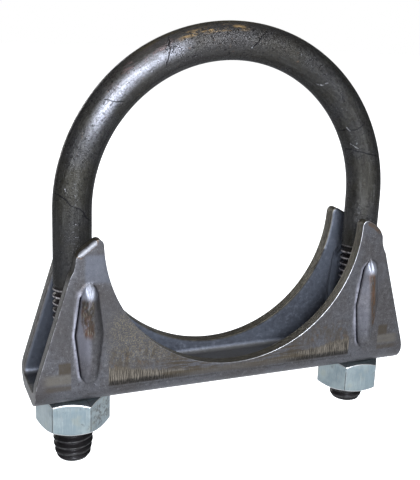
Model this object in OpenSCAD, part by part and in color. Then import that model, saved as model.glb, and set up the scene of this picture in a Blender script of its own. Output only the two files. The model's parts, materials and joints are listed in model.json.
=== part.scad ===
// Saddle clamp for an exhaust pipe: a bent and threaded U-bolt, a pressed
// channel saddle and two hexagon nuts.
//
// The origin is the centre of the saddle's round pipe seat. X runs along the
// saddle, Y along the pipe and Z up towards the bend of the U-bolt.

/* [U-bolt] */
// Diameter of the plain rod
rod_d = 7.35; // [6:0.05:7.4]
// Clear width between the two legs
inside_w = 56; // [52:0.5:60]
// Height of the bend's centre above the centre of the pipe seat
bend_rise = 3.7; // [0:0.1:8]
// Left leg, from the bend's centre to its end
left_leg = 50.2; // [47:0.1:60]
// Right leg, from the bend's centre to its end
right_leg = 46.6; // [44:0.1:60]

/* [Thread] */
// Outside diameter of the thread
thread_d = 7.9; // [7.5:0.01:8]
// Threads in each inch of leg
threads_per_inch = 18; // [16:1:20]
// Length of thread on each leg
thread_len = 36.5; // [30:0.5:40]

/* [Saddle] */
// Overall length of the saddle
saddle_len = 80.8; // [78:0.2:90]
// Width over the outer faces of the two flanges
saddle_w = 15; // [14:0.1:20]
// Height from the underside up to the centre of the pipe seat
saddle_h = 32.5; // [31.5:0.1:36]
// Radius of the pipe seat cut into both flanges
seat_r = 27.5; // [26:0.1:28]
// Thickness of the sheet
sheet_t = 2.4; // [1.8:0.1:2.6]
// Inside radius of the fold between web and flange
fold_r = 1.2; // [0.5:0.1:2]
// Bolt hole diameter
hole_d = 9; // [8.5:0.1:9.6]
// Half width over the outer edges of the ears, measured at the seat's centre
ear_half_w = 31.6; // [31:0.1:33]
// Outward lean of the flange edges, in mm for each mm down
edge_lean = 0.309; // [0.2:0.005:0.4]

/* [Ribs] */
// Length of the rib pressed out of each flange beside a leg
rib_len = 20; // [14:0.5:22]
// Width of a rib at its widest point
rib_w = 5.4; // [4:0.1:6]
// Height of a rib above the flange
rib_h = 1.5; // [0.8:0.1:1.8]
// Distance of a rib from the middle of the saddle
rib_x = 30.2; // [29:0.1:31]
// Depth of a rib's middle below the centre of the pipe seat
rib_drop = 18.2; // [16:0.1:19]

/* [Nuts] */
// Size across flats
nut_af = 12.7; // [12:0.1:13]
// Height of a nut
nut_h = 6.75; // [6:0.05:7.5]
// Turn of the left nut about its leg
left_nut_turn = -15; // [-30:1:30]
// Turn of the right nut about its leg
right_nut_turn = -5; // [-30:1:30]

/* [Hidden] */
$fn = 96;

pitch = 25.4 / threads_per_inch;
leg_x = inside_w / 2 + rod_d / 2;
root_r = thread_d / 2 - 0.61 * pitch;
crest_flat = pitch / 6;
nut_running_gap = 0.05;
nut_seat_gap = 0.05;
half_len = saddle_len / 2;
outer_fold_r = fold_r + sheet_t;
flange_y = saddle_w / 2;
// Each side's ears: the fall of the top, in mm for each mm out, and the outer corner's rounding
left_ear = [0.77, 2.6];
right_ear = [0.55, 5];
cut = 1;

// Points of an arc of radius r that rounds the corner b between a and c.
function fillet(a, b, c, r, steps = 6) =
    let (
        u = (a - b) / norm(a - b),
        v = (c - b) / norm(c - b),
        half = acos(u * v) / 2,
        centre = b + (u + v) / norm(u + v) * r / sin(half),
        from = b + u * r / tan(half) - centre,
        to = b + v * r / tan(half) - centre,
        start = atan2(from.y, from.x),
        sweep = atan2(to.y, to.x) - start,
        turn = sweep > 180 ? sweep - 360 : sweep < -180 ? sweep + 360 : sweep
    )
    [for (i = [0:steps]) let (t = start + turn * i / steps) centre + r * [cos(t), sin(t)]];

// ---- U-bolt -----------------------------------------------------------

// Half section of a leg that hangs from z = 0: plain rod, ringed thread, chamfered end.
function leg_section(len) =
    let (
        rod_r = rod_d / 2,
        crest_r = thread_d / 2,
        tip_r = root_r,
        chamfer = crest_r - tip_r,
        first = -len + chamfer + pitch / 2,
        rings = floor((thread_len - chamfer - pitch) / pitch),
        flank = (pitch - crest_flat) / 2
    )
    concat(
        [[0, -len], [tip_r, -len]],
        [
            for (i = [0:rings - 1], p = [
                [crest_r, -flank - crest_flat],
                [crest_r, -flank],
                [root_r, 0],
            ]) [p.x, first + i * pitch + pitch / 2 + p.y]
        ],
        [[rod_r, -len + thread_len], [rod_r, 0], [0, 0]]
    );

module leg(len) {
    rotate_extrude() polygon(leg_section(len));
}

module u_bolt() color("#46454a") {
    translate([0, 0, bend_rise]) {
        rotate([90, 0, 0])
            rotate_extrude(angle = 180) translate([leg_x, 0]) circle(d = rod_d);
        translate([-leg_x, 0, 0]) leg(left_leg);
        translate([leg_x, 0, 0]) leg(right_leg);
    }
}

// ---- Saddle -----------------------------------------------------------

// Section of a channel with rounded lower corners, open at the top.
module channel_section(width, radius, bottom) {
    side = width / 2;
    translate([-side, bottom + radius]) square([width, saddle_h]);
    translate([radius - side, bottom]) square([width - 2 * radius, radius]);
    for (s = [-1, 1]) translate([s * (side - radius), bottom + radius]) circle(r = radius);
}

module folded_channel() {
    rotate([90, 0, 90])
        linear_extrude(height = saddle_len, center = true)
            difference() {
                channel_section(saddle_w, outer_fold_r, -saddle_h);
                channel_section(saddle_w - 2 * sheet_t, fold_r, -saddle_h + sheet_t);
            }
}

// Right half of a flange's outline, seen along the pipe, with an ear of the given form.
module flange_half(ear) {
    tip_slope = ear[0];
    corner_r = ear[1];
    tip_top = 1;
    tip_r = 1.1;
    waist_r = 8;
    inner = [seat_r, tip_top];
    outer_x = (ear_half_w + edge_lean * (-tip_top - tip_slope * seat_r)) / (1 - edge_lean * tip_slope);
    outer = [outer_x, tip_top - tip_slope * (outer_x - seat_r)];
    waist = [half_len, -(half_len - ear_half_w) / edge_lean];
    foot = [half_len, -saddle_h];
    low_inner = [seat_r, -2 * tip_r];
    polygon(concat(
        [[0, -saddle_h], foot],
        fillet(foot, waist, outer, waist_r),
        fillet(waist, outer, inner, corner_r),
        fillet(outer, inner, low_inner, tip_r),
        [low_inner, [0, low_inner.y]]
    ));
}

module flange_outline() {
    flange_half(right_ear);
    mirror([1, 0]) flange_half(left_ear);
}

// Boat-shaped form of a rib. It stands out along -Y from y = 0 and reaches
// root mm back along +Y.
module rib_form(root) {
    half_l = rib_len / 2;
    half_w = rib_w / 2;
    side = [[0, 1], [0.36, 0.94], [0.58, 0.8], [1, 0], [0.62, -0.8], [0.4, -0.94], [0, -1]];
    ring = concat(side, [for (i = [5:-1:1]) [-side[i].x, side[i].y]]);
    n = len(ring);
    levels = [[root, 1, 1], [0, 1, 1], [-0.7 * rib_h, 0.62, 0.84], [-rib_h, 0.28, 0.66]];
    points = [
        for (lv = levels, p = ring) [p.x * half_w * lv[1], lv[0], p.y * half_l * lv[2]]
    ];
    walls = [
        for (k = [0:len(levels) - 2], i = [0:n - 1])
            let (j = (i + 1) % n, a = k * n)
            each [[a + i, a + n + i, a + n + j], [a + i, a + n + j, a + j]]
    ];
    back = [for (i = [0:n - 1]) i];
    front = [for (i = [n - 1:-1:0]) (len(levels) - 1) * n + i];
    polyhedron(points, concat([back], walls, [front]));
}

// Four ribs, mirrored about both planes of the saddle.
module rib_set(y, root) {
    for (mx = [0, 1], my = [0, 1])
        mirror([mx, 0, 0]) mirror([0, my, 0])
            translate([rib_x, y, -rib_drop]) rib_form(root);
}

module saddle() color("#77787b") {
    difference() {
        union() {
            intersection() {
                folded_channel();
                rotate([90, 0, 0])
                    linear_extrude(height = saddle_w + cut, center = true) flange_outline();
            }
            rib_set(-flange_y, sheet_t / 4);
        }
        rib_set(-flange_y + sheet_t, cut);
        rotate([90, 0, 0]) cylinder(r = seat_r, h = saddle_w + cut, center = true);
        for (s = [-1, 1])
            translate([s * leg_x, 0, -saddle_h - cut])
                cylinder(d = hole_d, h = sheet_t + 2 * cut);
    }
}

// ---- Nuts -------------------------------------------------------------

module hex_nut(turn) {
    corner_r = nut_af / 2 / cos(30);
    face_r = nut_af / 2 * 0.95;
    clear_r = corner_r + cut;
    bevel = (clear_r - face_r) * tan(30);
    bore_r = thread_d / 2 + nut_running_gap;
    sink = 0.5;
    difference() {
        intersection() {
            rotate(turn) cylinder(r = corner_r, h = nut_h, $fn = 6);
            rotate_extrude()
                polygon([
                    [0, 0],
                    [face_r, 0],
                    [clear_r, bevel],
                    [clear_r, nut_h - bevel],
                    [face_r, nut_h],
                    [0, nut_h],
                ]);
        }
        translate([0, 0, -cut]) cylinder(r = bore_r, h = nut_h + 2 * cut);
        translate([0, 0, -sink]) cylinder(r1 = bore_r + 2 * sink, r2 = bore_r, h = 2 * sink);
        translate([0, 0, nut_h - sink]) cylinder(r1 = bore_r, r2 = bore_r + 2 * sink, h = 2 * sink);
    }
}

module nut_at(side, turn) color("#b9c7cb") {
    translate([side * leg_x, 0, -saddle_h - nut_seat_gap - nut_h]) hex_nut(turn);
}

module nut_left() nut_at(-1, left_nut_turn);

module nut_right() nut_at(1, right_nut_turn);

u_bolt();
saddle();
nut_left();
nut_right();
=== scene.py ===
"""Looks of an exhaust-pipe U-bolt clamp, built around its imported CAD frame."""

import functools
import json
import math

import bmesh
import bpy
from mathutils import Matrix, Vector
from mathutils.kdtree import KDTree


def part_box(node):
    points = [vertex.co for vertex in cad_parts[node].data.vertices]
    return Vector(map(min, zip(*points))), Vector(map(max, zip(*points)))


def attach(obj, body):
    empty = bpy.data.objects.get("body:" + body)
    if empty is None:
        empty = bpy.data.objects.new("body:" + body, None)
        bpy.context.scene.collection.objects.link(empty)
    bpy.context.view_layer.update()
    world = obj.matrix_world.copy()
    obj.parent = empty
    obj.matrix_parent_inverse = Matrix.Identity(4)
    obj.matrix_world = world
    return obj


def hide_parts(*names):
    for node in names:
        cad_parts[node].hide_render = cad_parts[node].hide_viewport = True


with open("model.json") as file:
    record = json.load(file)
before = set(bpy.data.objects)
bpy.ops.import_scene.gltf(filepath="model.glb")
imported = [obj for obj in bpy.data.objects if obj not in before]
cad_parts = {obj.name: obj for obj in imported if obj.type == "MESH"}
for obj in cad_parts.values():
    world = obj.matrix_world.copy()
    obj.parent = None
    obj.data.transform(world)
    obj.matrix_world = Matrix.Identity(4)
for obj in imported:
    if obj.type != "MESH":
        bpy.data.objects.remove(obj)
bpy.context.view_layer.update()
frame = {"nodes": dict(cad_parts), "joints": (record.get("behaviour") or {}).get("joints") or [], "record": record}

# ---- Sizes, in millimetres, from the frame ----

MM = 0.001
mounts = {m["name"]: m for m in frame["record"]["mounts"]}
joints = {j["name"]: j for j in frame["joints"]}
couplings = {c["joint"]: c for c in frame["record"]["behaviour"]["couplings"]}


def box_mm(node):
    """Lowest and highest corner of a CAD node, in millimetres."""
    low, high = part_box(node)
    return low / MM, high / MM


SADDLE_LOW, SADDLE_HIGH = box_mm("saddle")
LEG_X = joints["nut_right_turn"]["pos_m"][0] / MM
BEND_Z = mounts["bow_seat"]["pos_m"][2] / MM
ROD_R = LEG_X - mounts["bow_seat"]["dims"]["r_mm"]
CREST_R = mounts["thread_end_left"]["dims"]["r_mm"]
LEFT_END_Z = mounts["thread_end_left"]["pos_m"][2] / MM
RIGHT_END_Z = mounts["thread_end_right"]["pos_m"][2] / MM
PITCH = 2 * math.pi / couplings["nut_left_turn"]["ratio"] / MM
SEAT_R = mounts["pipe_seat"]["dims"]["r_mm"]
FLANGE_Y = mounts["pipe_seat"]["dims"]["length_mm"] / 2
HALF_LEN = SADDLE_HIGH.x
BOTTOM_Z = SADDLE_LOW.z
RIB_H = SADDLE_HIGH.y - FLANGE_Y
TRAVEL_DOWN = joints["clamp_travel"]["range_m"][1] / MM

# ---- Sizes of the looks, in millimetres ----

THREAD_SHARE = 0.61  # depth of the thread, in pitches
ROOT_R = CREST_R - THREAD_SHARE * PITCH
THREAD_LEN = 36.5
THREAD_FADE = 1.6 * PITCH
THREAD_TAPER = [(0, 3.0), (0.7, 3.5), (3.5, 3.95), (15, 3.95), (26, 3.74), (40, 3.72)]
ROD_SIDES = 56
SHANK_STEP = 1.0

SHEET_T = 2.4
FOLD_R = 1.2
HOLE_R = 4.5
HOLE_SIDES = 72
RIM = 1.0
EAR_HALF_W = 31.6
EDGE_LEAN = 0.309
LEFT_EAR = (0.77, 2.6)
RIGHT_EAR = (0.55, 5.0)
TIP_TOP = 1.0
TIP_ROUND = 1.1
WAIST_LEN = 1.2
RIB_X = 30.2
RIB_Z = -18.2
RIB_HALF_LEN = 10.0
RIB_HALF_W = 2.7
CRACK_DEPTH = 0.35
LIP_HEIGHT = 0.12

NUT_ROUND = 0.4
NUT_FACE = 0.95  # radius of the nut's flat faces, as a share of half its width
NUT_CLEARANCE = 0.06
NUT_MARKS = ("edge", "bevel", "corner")

# ---- Small helpers ----


def lerp(a, b, t):
    return a + (b - a) * t


def clamp(t, low=0.0, high=1.0):
    return max(low, min(high, t))


def smooth(low, high, x):
    """0 below low, 1 above high and a soft step between them."""
    t = clamp((x - low) / (high - low))
    return t * t * (3 - 2 * t)


def table(points, x):
    """Straight-line value at x in a list of (x, value)."""
    for (x0, y0), (x1, y1) in zip(points, points[1:]):
        if x <= x1:
            return lerp(y0, y1, clamp((x - x0) / (x1 - x0)))
    return points[-1][1]


def polar(angle, radius=1.0):
    """Point (x, y) at an angle and a distance from the origin."""
    return Vector((radius * math.cos(angle), radius * math.sin(angle)))


def bridge(bm, strips):
    """Faces between each strip of vertices and the next."""
    for a, b in zip(strips, strips[1:]):
        for i in range(len(a) - 1):
            bm.faces.new((a[i], a[i + 1], b[i + 1], b[i]))


def trim(bm, faces, z, up):
    """Cuts faces off flat at a height, above it or below it, and returns what is left of them."""
    corners = [v for f in faces for v in f.verts]
    sides = [e for f in faces for e in f.edges]
    geom = list(dict.fromkeys(corners + sides + faces))
    plane = {"plane_co": (0, 0, z), "plane_no": (0, 0, up)}
    cut = bmesh.ops.bisect_plane(bm, geom=geom, dist=1e-5, clear_outer=True, **plane)
    return [g for g in cut["geom"] if isinstance(g, bmesh.types.BMFace)]


def link(name, data):
    """A new object in the scene."""
    obj = bpy.data.objects.new(name, data)
    bpy.context.scene.collection.objects.link(obj)
    return obj


def make_object(name, bm, materials):
    """An object in metres from a mesh in millimetres."""
    bmesh.ops.scale(bm, vec=(MM, MM, MM), verts=bm.verts)
    mesh = bpy.data.meshes.new(name)
    bm.to_mesh(mesh)
    bm.free()
    obj = link(name, mesh)
    for material in materials:
        mesh.materials.append(material)
    for polygon in mesh.polygons:
        polygon.use_smooth = True
    return obj


def weigh_normals(obj):
    """Keeps broad faces flat beside their small rounded edges."""
    modifier = obj.modifiers.new("weigh_normals", "WEIGHTED_NORMAL")
    modifier.weight = 60


def place(obj, node, slot):
    """The piece stands for its CAD node and moves with that node's body."""
    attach(obj, node)
    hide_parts(node)


# ---- Thread ----

# Depth of the thread's form, as a share, by distance from the crest in pitches.
THREAD_FORM = [(0.0, 0.0), (0.083, 0.02), (0.115, 0.11), (0.26, 0.5), (0.4, 0.9), (0.44, 0.98), (0.5, 1.0)]
THREAD_ROWS = [u for u, _ in THREAD_FORM] + [1 - u for u, _ in THREAD_FORM[-2:0:-1]]


def thread_depth(turn):
    """Share of the full depth at a place along the thread, with a crest at each whole number."""
    return table(THREAD_FORM, abs(turn - round(turn)))


def thread_stations(start, end):
    """Places from start to end that follow the thread's form on each pitch."""
    first = math.floor(start / PITCH)
    last = math.ceil(end / PITCH)
    return [PITCH * (n + u) for n in range(first, last) for u in THREAD_ROWS]


def helix_faces(bm, rows):
    """Faces between rows that each run on into the row one turn further."""
    per_turn = len(THREAD_ROWS)
    faces = []
    for k in range(len(rows) - per_turn - 1):
        near = rows[k] + rows[k + per_turn][:1]
        far = rows[k + 1] + rows[k + per_turn + 1][:1]
        for j in range(ROD_SIDES):
            faces.append(bm.faces.new((near[j], near[j + 1], far[j + 1], far[j])))
    stray = [v for row in rows for v in row if not v.link_faces]
    bmesh.ops.delete(bm, geom=stray, context="VERTS")
    return faces


# ---- U-bolt ----

LEFT_LEG = BEND_Z - LEFT_END_Z
RIGHT_LEG = BEND_Z - RIGHT_END_Z
BEND_LEN = math.pi * LEG_X
ROD_LEN = LEFT_LEG + BEND_LEN + RIGHT_LEG
RIGHT_PHASE = (ROD_LEN / PITCH) % 1.0


def rod_frame(s):
    """Centre, outward direction and travel direction at a distance along the rod."""
    angle = clamp((s - LEFT_LEG) / LEG_X, 0, math.pi)
    out = Vector((-math.cos(angle), 0, math.sin(angle)))
    travel = Vector((math.sin(angle), 0, math.cos(angle)))
    off_bend = min(0, s - LEFT_LEG) + max(0, s - LEFT_LEG - BEND_LEN)
    centre = Vector((0, 0, BEND_Z)) + LEG_X * out + off_bend * travel
    return centre, out, travel


def leg_turn(s, angle):
    """Place along the thread, in pitches, on the nearer leg."""
    phase = 0.0 if s < ROD_LEN / 2 else RIGHT_PHASE
    return s / PITCH - angle / (2 * math.pi) - phase


def rod_radius(s, angle):
    """Radius of the rod, how much thread there is, and the depth within the thread's form."""
    from_end = min(s, ROD_LEN - s)
    amount = clamp((THREAD_LEN - from_end) / THREAD_FADE)
    depth = thread_depth(leg_turn(s, angle))
    radius = lerp(ROD_R, lerp(CREST_R, ROOT_R, depth), amount)
    return min(radius, table(THREAD_TAPER, max(0, from_end))), amount, depth


def rod_stations():
    """Row places along the rod: the thread's own rows at both ends, coarser between."""
    margin = 2 * PITCH
    left = thread_stations(-margin, THREAD_LEN + margin)
    right_start = ROD_LEN - THREAD_LEN - margin
    offset = RIGHT_PHASE * PITCH
    right = [s + offset for s in thread_stations(right_start, ROD_LEN + margin)]
    steps = round((right[0] - left[-1]) / SHANK_STEP)
    middle = [lerp(left[-1], right[0], i / steps) for i in range(1, steps)]
    return left + middle + right


def build_u_bolt(materials):
    """One rod whose mesh rows follow its threads. Each point knows its place on the straight rod."""
    bm = bmesh.new()
    amount_layer = bm.verts.layers.float.new("thread")
    depth_layer = bm.verts.layers.float.new("depth")
    straight_layer = bm.verts.layers.float_vector.new("straight")
    stations = rod_stations()
    per_turn = len(THREAD_ROWS)
    rows = []
    for k in range(len(stations) - per_turn):
        row = []
        for j in range(ROD_SIDES):
            angle = 2 * math.pi * j / ROD_SIDES
            s = lerp(stations[k], stations[k + per_turn], j / ROD_SIDES)
            radius, amount, depth = rod_radius(s, angle)
            centre, out, travel = rod_frame(s)
            across = polar(angle, radius)
            vert = bm.verts.new(centre + across.x * out + across.y * travel.cross(out))
            vert[amount_layer] = amount
            vert[depth_layer] = depth
            vert[straight_layer] = Vector((s, *polar(angle, ROD_R)))
            row.append(vert)
        rows.append(row)
    helix_faces(bm, rows)
    cut_leg_end(bm, -1, LEFT_END_Z)
    cut_leg_end(bm, 1, RIGHT_END_Z)
    bmesh.ops.recalc_face_normals(bm, faces=bm.faces)
    return make_object("u_bolt_rod", bm, materials)


def cut_leg_end(bm, side, z):
    """Cuts one leg off square and closes it with a flat face."""
    middles = [(f, f.calc_center_median()) for f in bm.faces]
    trim(bm, [f for f, middle in middles if side * middle.x > 0 and middle.z < z + 8], z, -1)
    ends = [(e, e.verts[0].co) for e in bm.edges if e.is_boundary]
    rim = [e for e, end in ends if side * end.x > 0 and abs(end.z - z) < 0.01]
    bmesh.ops.holes_fill(bm, edges=rim, sides=0)


# ---- Saddle ----

MID_T = SHEET_T / 2
FOLD_MID_R = FOLD_R + MID_T
FLAT_Y = FLANGE_Y - SHEET_T - FOLD_R
WEB_Z = BOTTOM_Z + MID_T
FOLD_Z = WEB_Z + FOLD_MID_R
FOLD_STEPS = 8
WEB_STEPS = 4
LOW_ROWS = 50
TOP_ROWS = 14
OUTER_COLUMNS = 9
RIB_TOP_Z = RIB_Z + RIB_HALF_LEN + 0.8
ARC_X = 26.9
EAR_X = RIB_X + 3.1
BURR = 0.1

# Rib outline: half width by distance from the rib's middle, as shares.
RIB_UPPER = [(0, 1), (0.8, 0.6), (0.9, 0.45), (0.97, 0.24), (1, 0)]
RIB_LOWER = [(0, 1), (0.8, 0.64), (0.9, 0.48), (0.97, 0.26), (1, 0)]
RIB_PROFILE = [(0, 0), (0.16, 0.36), (0.36, 0.68), (0.58, 0.9), (0.8, 0.98), (1, 1)]
CREASE_PROFILE = [(0, 0), (0.05, 0.12), (0.14, 0.24), (0.4, 0.56), (0.65, 0.84), (0.85, 0.97), (1, 1)]


def rib_half_width(z):
    """Half width of a rib's outline at a height."""
    t = (z - RIB_Z) / RIB_HALF_LEN
    return RIB_HALF_W * table(RIB_UPPER if t > 0 else RIB_LOWER, abs(t))


def guide_half_width(z):
    """Half width that the mesh columns follow: the rib's own, opening again past its ends."""
    t = abs(z - RIB_Z) / RIB_HALF_LEN
    narrow = max(rib_half_width(z), 0.24 * RIB_HALF_W)
    return lerp(narrow, RIB_HALF_W, smooth(0.99, 1.2, t))


def rib_level(x, z):
    """From 0 at a rib's outline to 1 on its crest."""
    half = rib_half_width(z)
    t = abs(z - RIB_Z) / RIB_HALF_LEN
    if t >= 1 or half <= 0:
        return 0.0
    across = 1 - abs(x - RIB_X) / half
    along = (1 - t) / 0.36
    return clamp(min(across, along))


def rib_height(x, z, side):
    """Height of a rib, which rises in a small step from the crease on one flank. side picks the flank."""
    level = rib_level(x, z)
    profile = CREASE_PROFILE if side * (x - RIB_X) > 0 else RIB_PROFILE
    return RIB_H * table(profile, level)


def beside_rib(x, z, side):
    """Distance out from a rib's outline on one flank, and how far that flank is worked at this height."""
    t = (z - RIB_Z) / RIB_HALF_LEN
    off = side * (x - RIB_X) - rib_half_width(z)
    return off, smooth(0.95, 0.8, abs(t))


def crack(x, z, side):
    """How deep in the crease beside a rib a point lies, from 0 to 1. side picks the flank."""
    off, worked = beside_rib(x, z, side)
    return worked * clamp(1 - abs(off + 0.03) / 0.15)


def crack_lip(x, z, side):
    """How high on the lip outside that crease a point lies, from 0 to 1."""
    off, worked = beside_rib(x, z, side)
    return worked * smooth(0.08, 0.2, off) * smooth(0.75, 0.3, off)


def arc_point(angle):
    """Pipe seat's edge at an angle below the horizontal, with its outward normal."""
    return polar(-angle, SEAT_R), -polar(-angle)


def rounded(centre, radius, start, finish, steps):
    """Points and normals round a corner, without the first."""
    turns = [polar(lerp(start, finish, i / steps)) for i in range(1, steps + 1)]
    return [(centre + radius * turn, turn) for turn in turns]


def ear_outline(fall, ear_round):
    """Cut edge of the right ear from the pipe seat over its tip to the outer edge, as (point, normal)."""
    slope = Vector((1, -fall)).normalized()
    slope_normal = Vector((-slope.y, slope.x))
    lean = Vector((EDGE_LEAN, -1)).normalized()
    lean_normal = Vector((-lean.y, lean.x))
    inner = Vector((SEAT_R, TIP_TOP))
    outer_x = (EAR_HALF_W + EDGE_LEAN * (-TIP_TOP - fall * SEAT_R)) / (1 - EDGE_LEAN * fall)
    outer = Vector((outer_x, TIP_TOP - fall * (outer_x - SEAT_R)))
    down = Vector((0, -1))
    half = math.acos(slope.dot(down)) / 2
    tip_centre = inner + (slope + down).normalized() * TIP_ROUND / math.sin(half)
    half = math.acos(lean.dot(-slope)) / 2
    ear_centre = outer + (lean - slope).normalized() * ear_round / math.sin(half)
    top_angle = math.atan2(slope_normal.y, slope_normal.x)
    side_angle = math.atan2(lean_normal.y, lean_normal.x)
    start = math.asin(math.sqrt(1 - (ARC_X / (SEAT_R + RIM)) ** 2))
    finish = math.asin(-tip_centre.y / SEAT_R)
    edge = [arc_point(lerp(start, finish, i / 14)) for i in range(15)]
    edge += rounded(tip_centre, TIP_ROUND, math.pi, top_angle, 12)
    first = edge[-1][0]
    last = ear_centre + ear_round * slope_normal
    edge += [(lerp(first, last, i / 4), slope_normal) for i in range(1, 5)]
    return edge + rounded(ear_centre, ear_round, top_angle, side_angle, 6)


def resample(edge, shares):
    """Points of an outline at shares of its length."""
    lengths = [0.0]
    for (a, _), (b, _) in zip(edge, edge[1:]):
        lengths.append(lengths[-1] + (b - a).length)
    out = []
    for share in shares:
        goal = share * lengths[-1]
        i = max(n for n in range(len(edge) - 1) if lengths[n] <= goal + 1e-9)
        t = (goal - lengths[i]) / (lengths[i + 1] - lengths[i])
        out.append((lerp(edge[i][0], edge[i + 1][0], t), lerp(edge[i][1], edge[i + 1][1], t).normalized()))
    return out


def side_x(z):
    """X of the flange's outer edge at a height, less the rim."""
    lean = math.hypot(1, EDGE_LEAN)
    meet = -(HALF_LEN - RIM - EAR_HALF_W + RIM * lean) / EDGE_LEAN
    above = z - meet
    if above < -WAIST_LEN:
        return HALF_LEN - RIM
    if above < WAIST_LEN:
        return HALF_LEN - RIM - EDGE_LEAN * (above + WAIST_LEN) ** 2 / (4 * WAIST_LEN)
    return HALF_LEN - RIM - EDGE_LEAN * above


def base_columns():
    """X of each mesh column at the fold: under the pipe seat's arc, then under the ear."""
    arc = [float(i) for i in range(20)] + [20 + i * 0.46 for i in range(15)] + [ARC_X]
    near = [0.35, 0.7, 1.05, 1.4, 1.75, 2.05, 2.3, 2.48, 2.61, 2.7, 2.79, 2.92]
    ear = [RIB_X - a for a in reversed(near)] + [RIB_X] + [RIB_X + a for a in near] + [EAR_X]
    return arc, ear


def ear_x(z):
    """X where the mesh's outer columns start at a height: they close up in the narrow ear."""
    return min(EAR_X, side_x(z) - 0.7)


def guided_x(x, z):
    """Moves a column in the rib's reach so that it follows the rib's outline."""
    off = abs(x - RIB_X)
    reach = EAR_X - RIB_X
    if off > reach:
        return x
    half = guide_half_width(z)
    if off <= RIB_HALF_W:
        moved = off * half / RIB_HALF_W
    else:
        moved = lerp(half, reach, (off - RIB_HALF_W) / (reach - RIB_HALF_W))
    if x > RIB_X:
        return RIB_X + moved * (ear_x(z) - RIB_X) / reach
    return RIB_X - moved


def flange_column(x, share, top):
    """Points (x, z) of one column, from the fold up to its place on the rim's inner line."""
    rows = LOW_ROWS + TOP_ROWS
    knee = min(RIB_TOP_Z, top.y - 0.5)
    blend = smooth(19, ARC_X, x)
    points = []
    for j in range(rows + 1):
        even = lerp(FOLD_Z, top.y, j / rows)
        if j <= LOW_ROWS:
            ear = lerp(FOLD_Z, knee, j / LOW_ROWS)
        else:
            ear = lerp(knee, top.y, (j - LOW_ROWS) / TOP_ROWS)
        z = lerp(even, ear, blend)
        if share is not None:
            low_x = lerp(ear_x(z), side_x(z), share)
        else:
            low_x = guided_x(x, z)
        above = clamp((z - knee) / max(top.y - knee, 1e-6)) if x > ARC_X else 0.0
        points.append(Vector((lerp(low_x, top.x, above), z)))
    points[-1] = Vector((top.x, top.y))
    return points


def half_columns(ear_form):
    """Each column of a half, as if on the right.

    It has its x at the fold, its share of the end zone, its points and its rim normal.
    """
    arc, ear = base_columns()
    shares = [(i + 1) / OUTER_COLUMNS for i in range(OUTER_COLUMNS)]
    places = [(x, None) for x in arc + ear]
    places += [(lerp(EAR_X, HALF_LEN - RIM, share), share) for share in shares]
    on_ear = len(places) - len(arc)
    tops = [arc_point(math.acos(x / (SEAT_R + RIM))) for x in arc]
    tops += resample(ear_outline(*ear_form), [(i + 1) / on_ear for i in range(on_ear)])
    columns = []
    for (x, share), (spot, normal) in zip(places, tops):
        columns.append((x, share, flange_column(x, share, spot - RIM * normal), normal))
    return columns


def sheet_rows(columns, mirror):
    """A quarter of the sheet's middle surface: columns of (point, normal) from the web up a flange."""
    out = []
    for x, share, points, _ in columns:
        column = []
        for i in range(WEB_STEPS + 1):
            column.append((Vector((x, -FLAT_Y * i / WEB_STEPS, WEB_Z)), Vector((0, 0, -1))))
        for i in range(1, FOLD_STEPS + 1):
            turn = math.pi / 2 * i / FOLD_STEPS
            normal = Vector((0, -math.sin(turn), -math.cos(turn)))
            z = FOLD_Z - FOLD_MID_R * math.cos(turn)
            end = lerp(EAR_X, side_x(z), share) if share is not None else x
            column.append((Vector((end, -FLAT_Y - FOLD_MID_R * math.sin(turn), z)), normal))
        for point in points[1:]:
            column.append((Vector((point.x, MID_T - FLANGE_Y, point.y)), Vector((0, -1, 0))))
        out.append([(mirror @ p, mirror @ n) for p, n in column])
    return out


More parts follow.
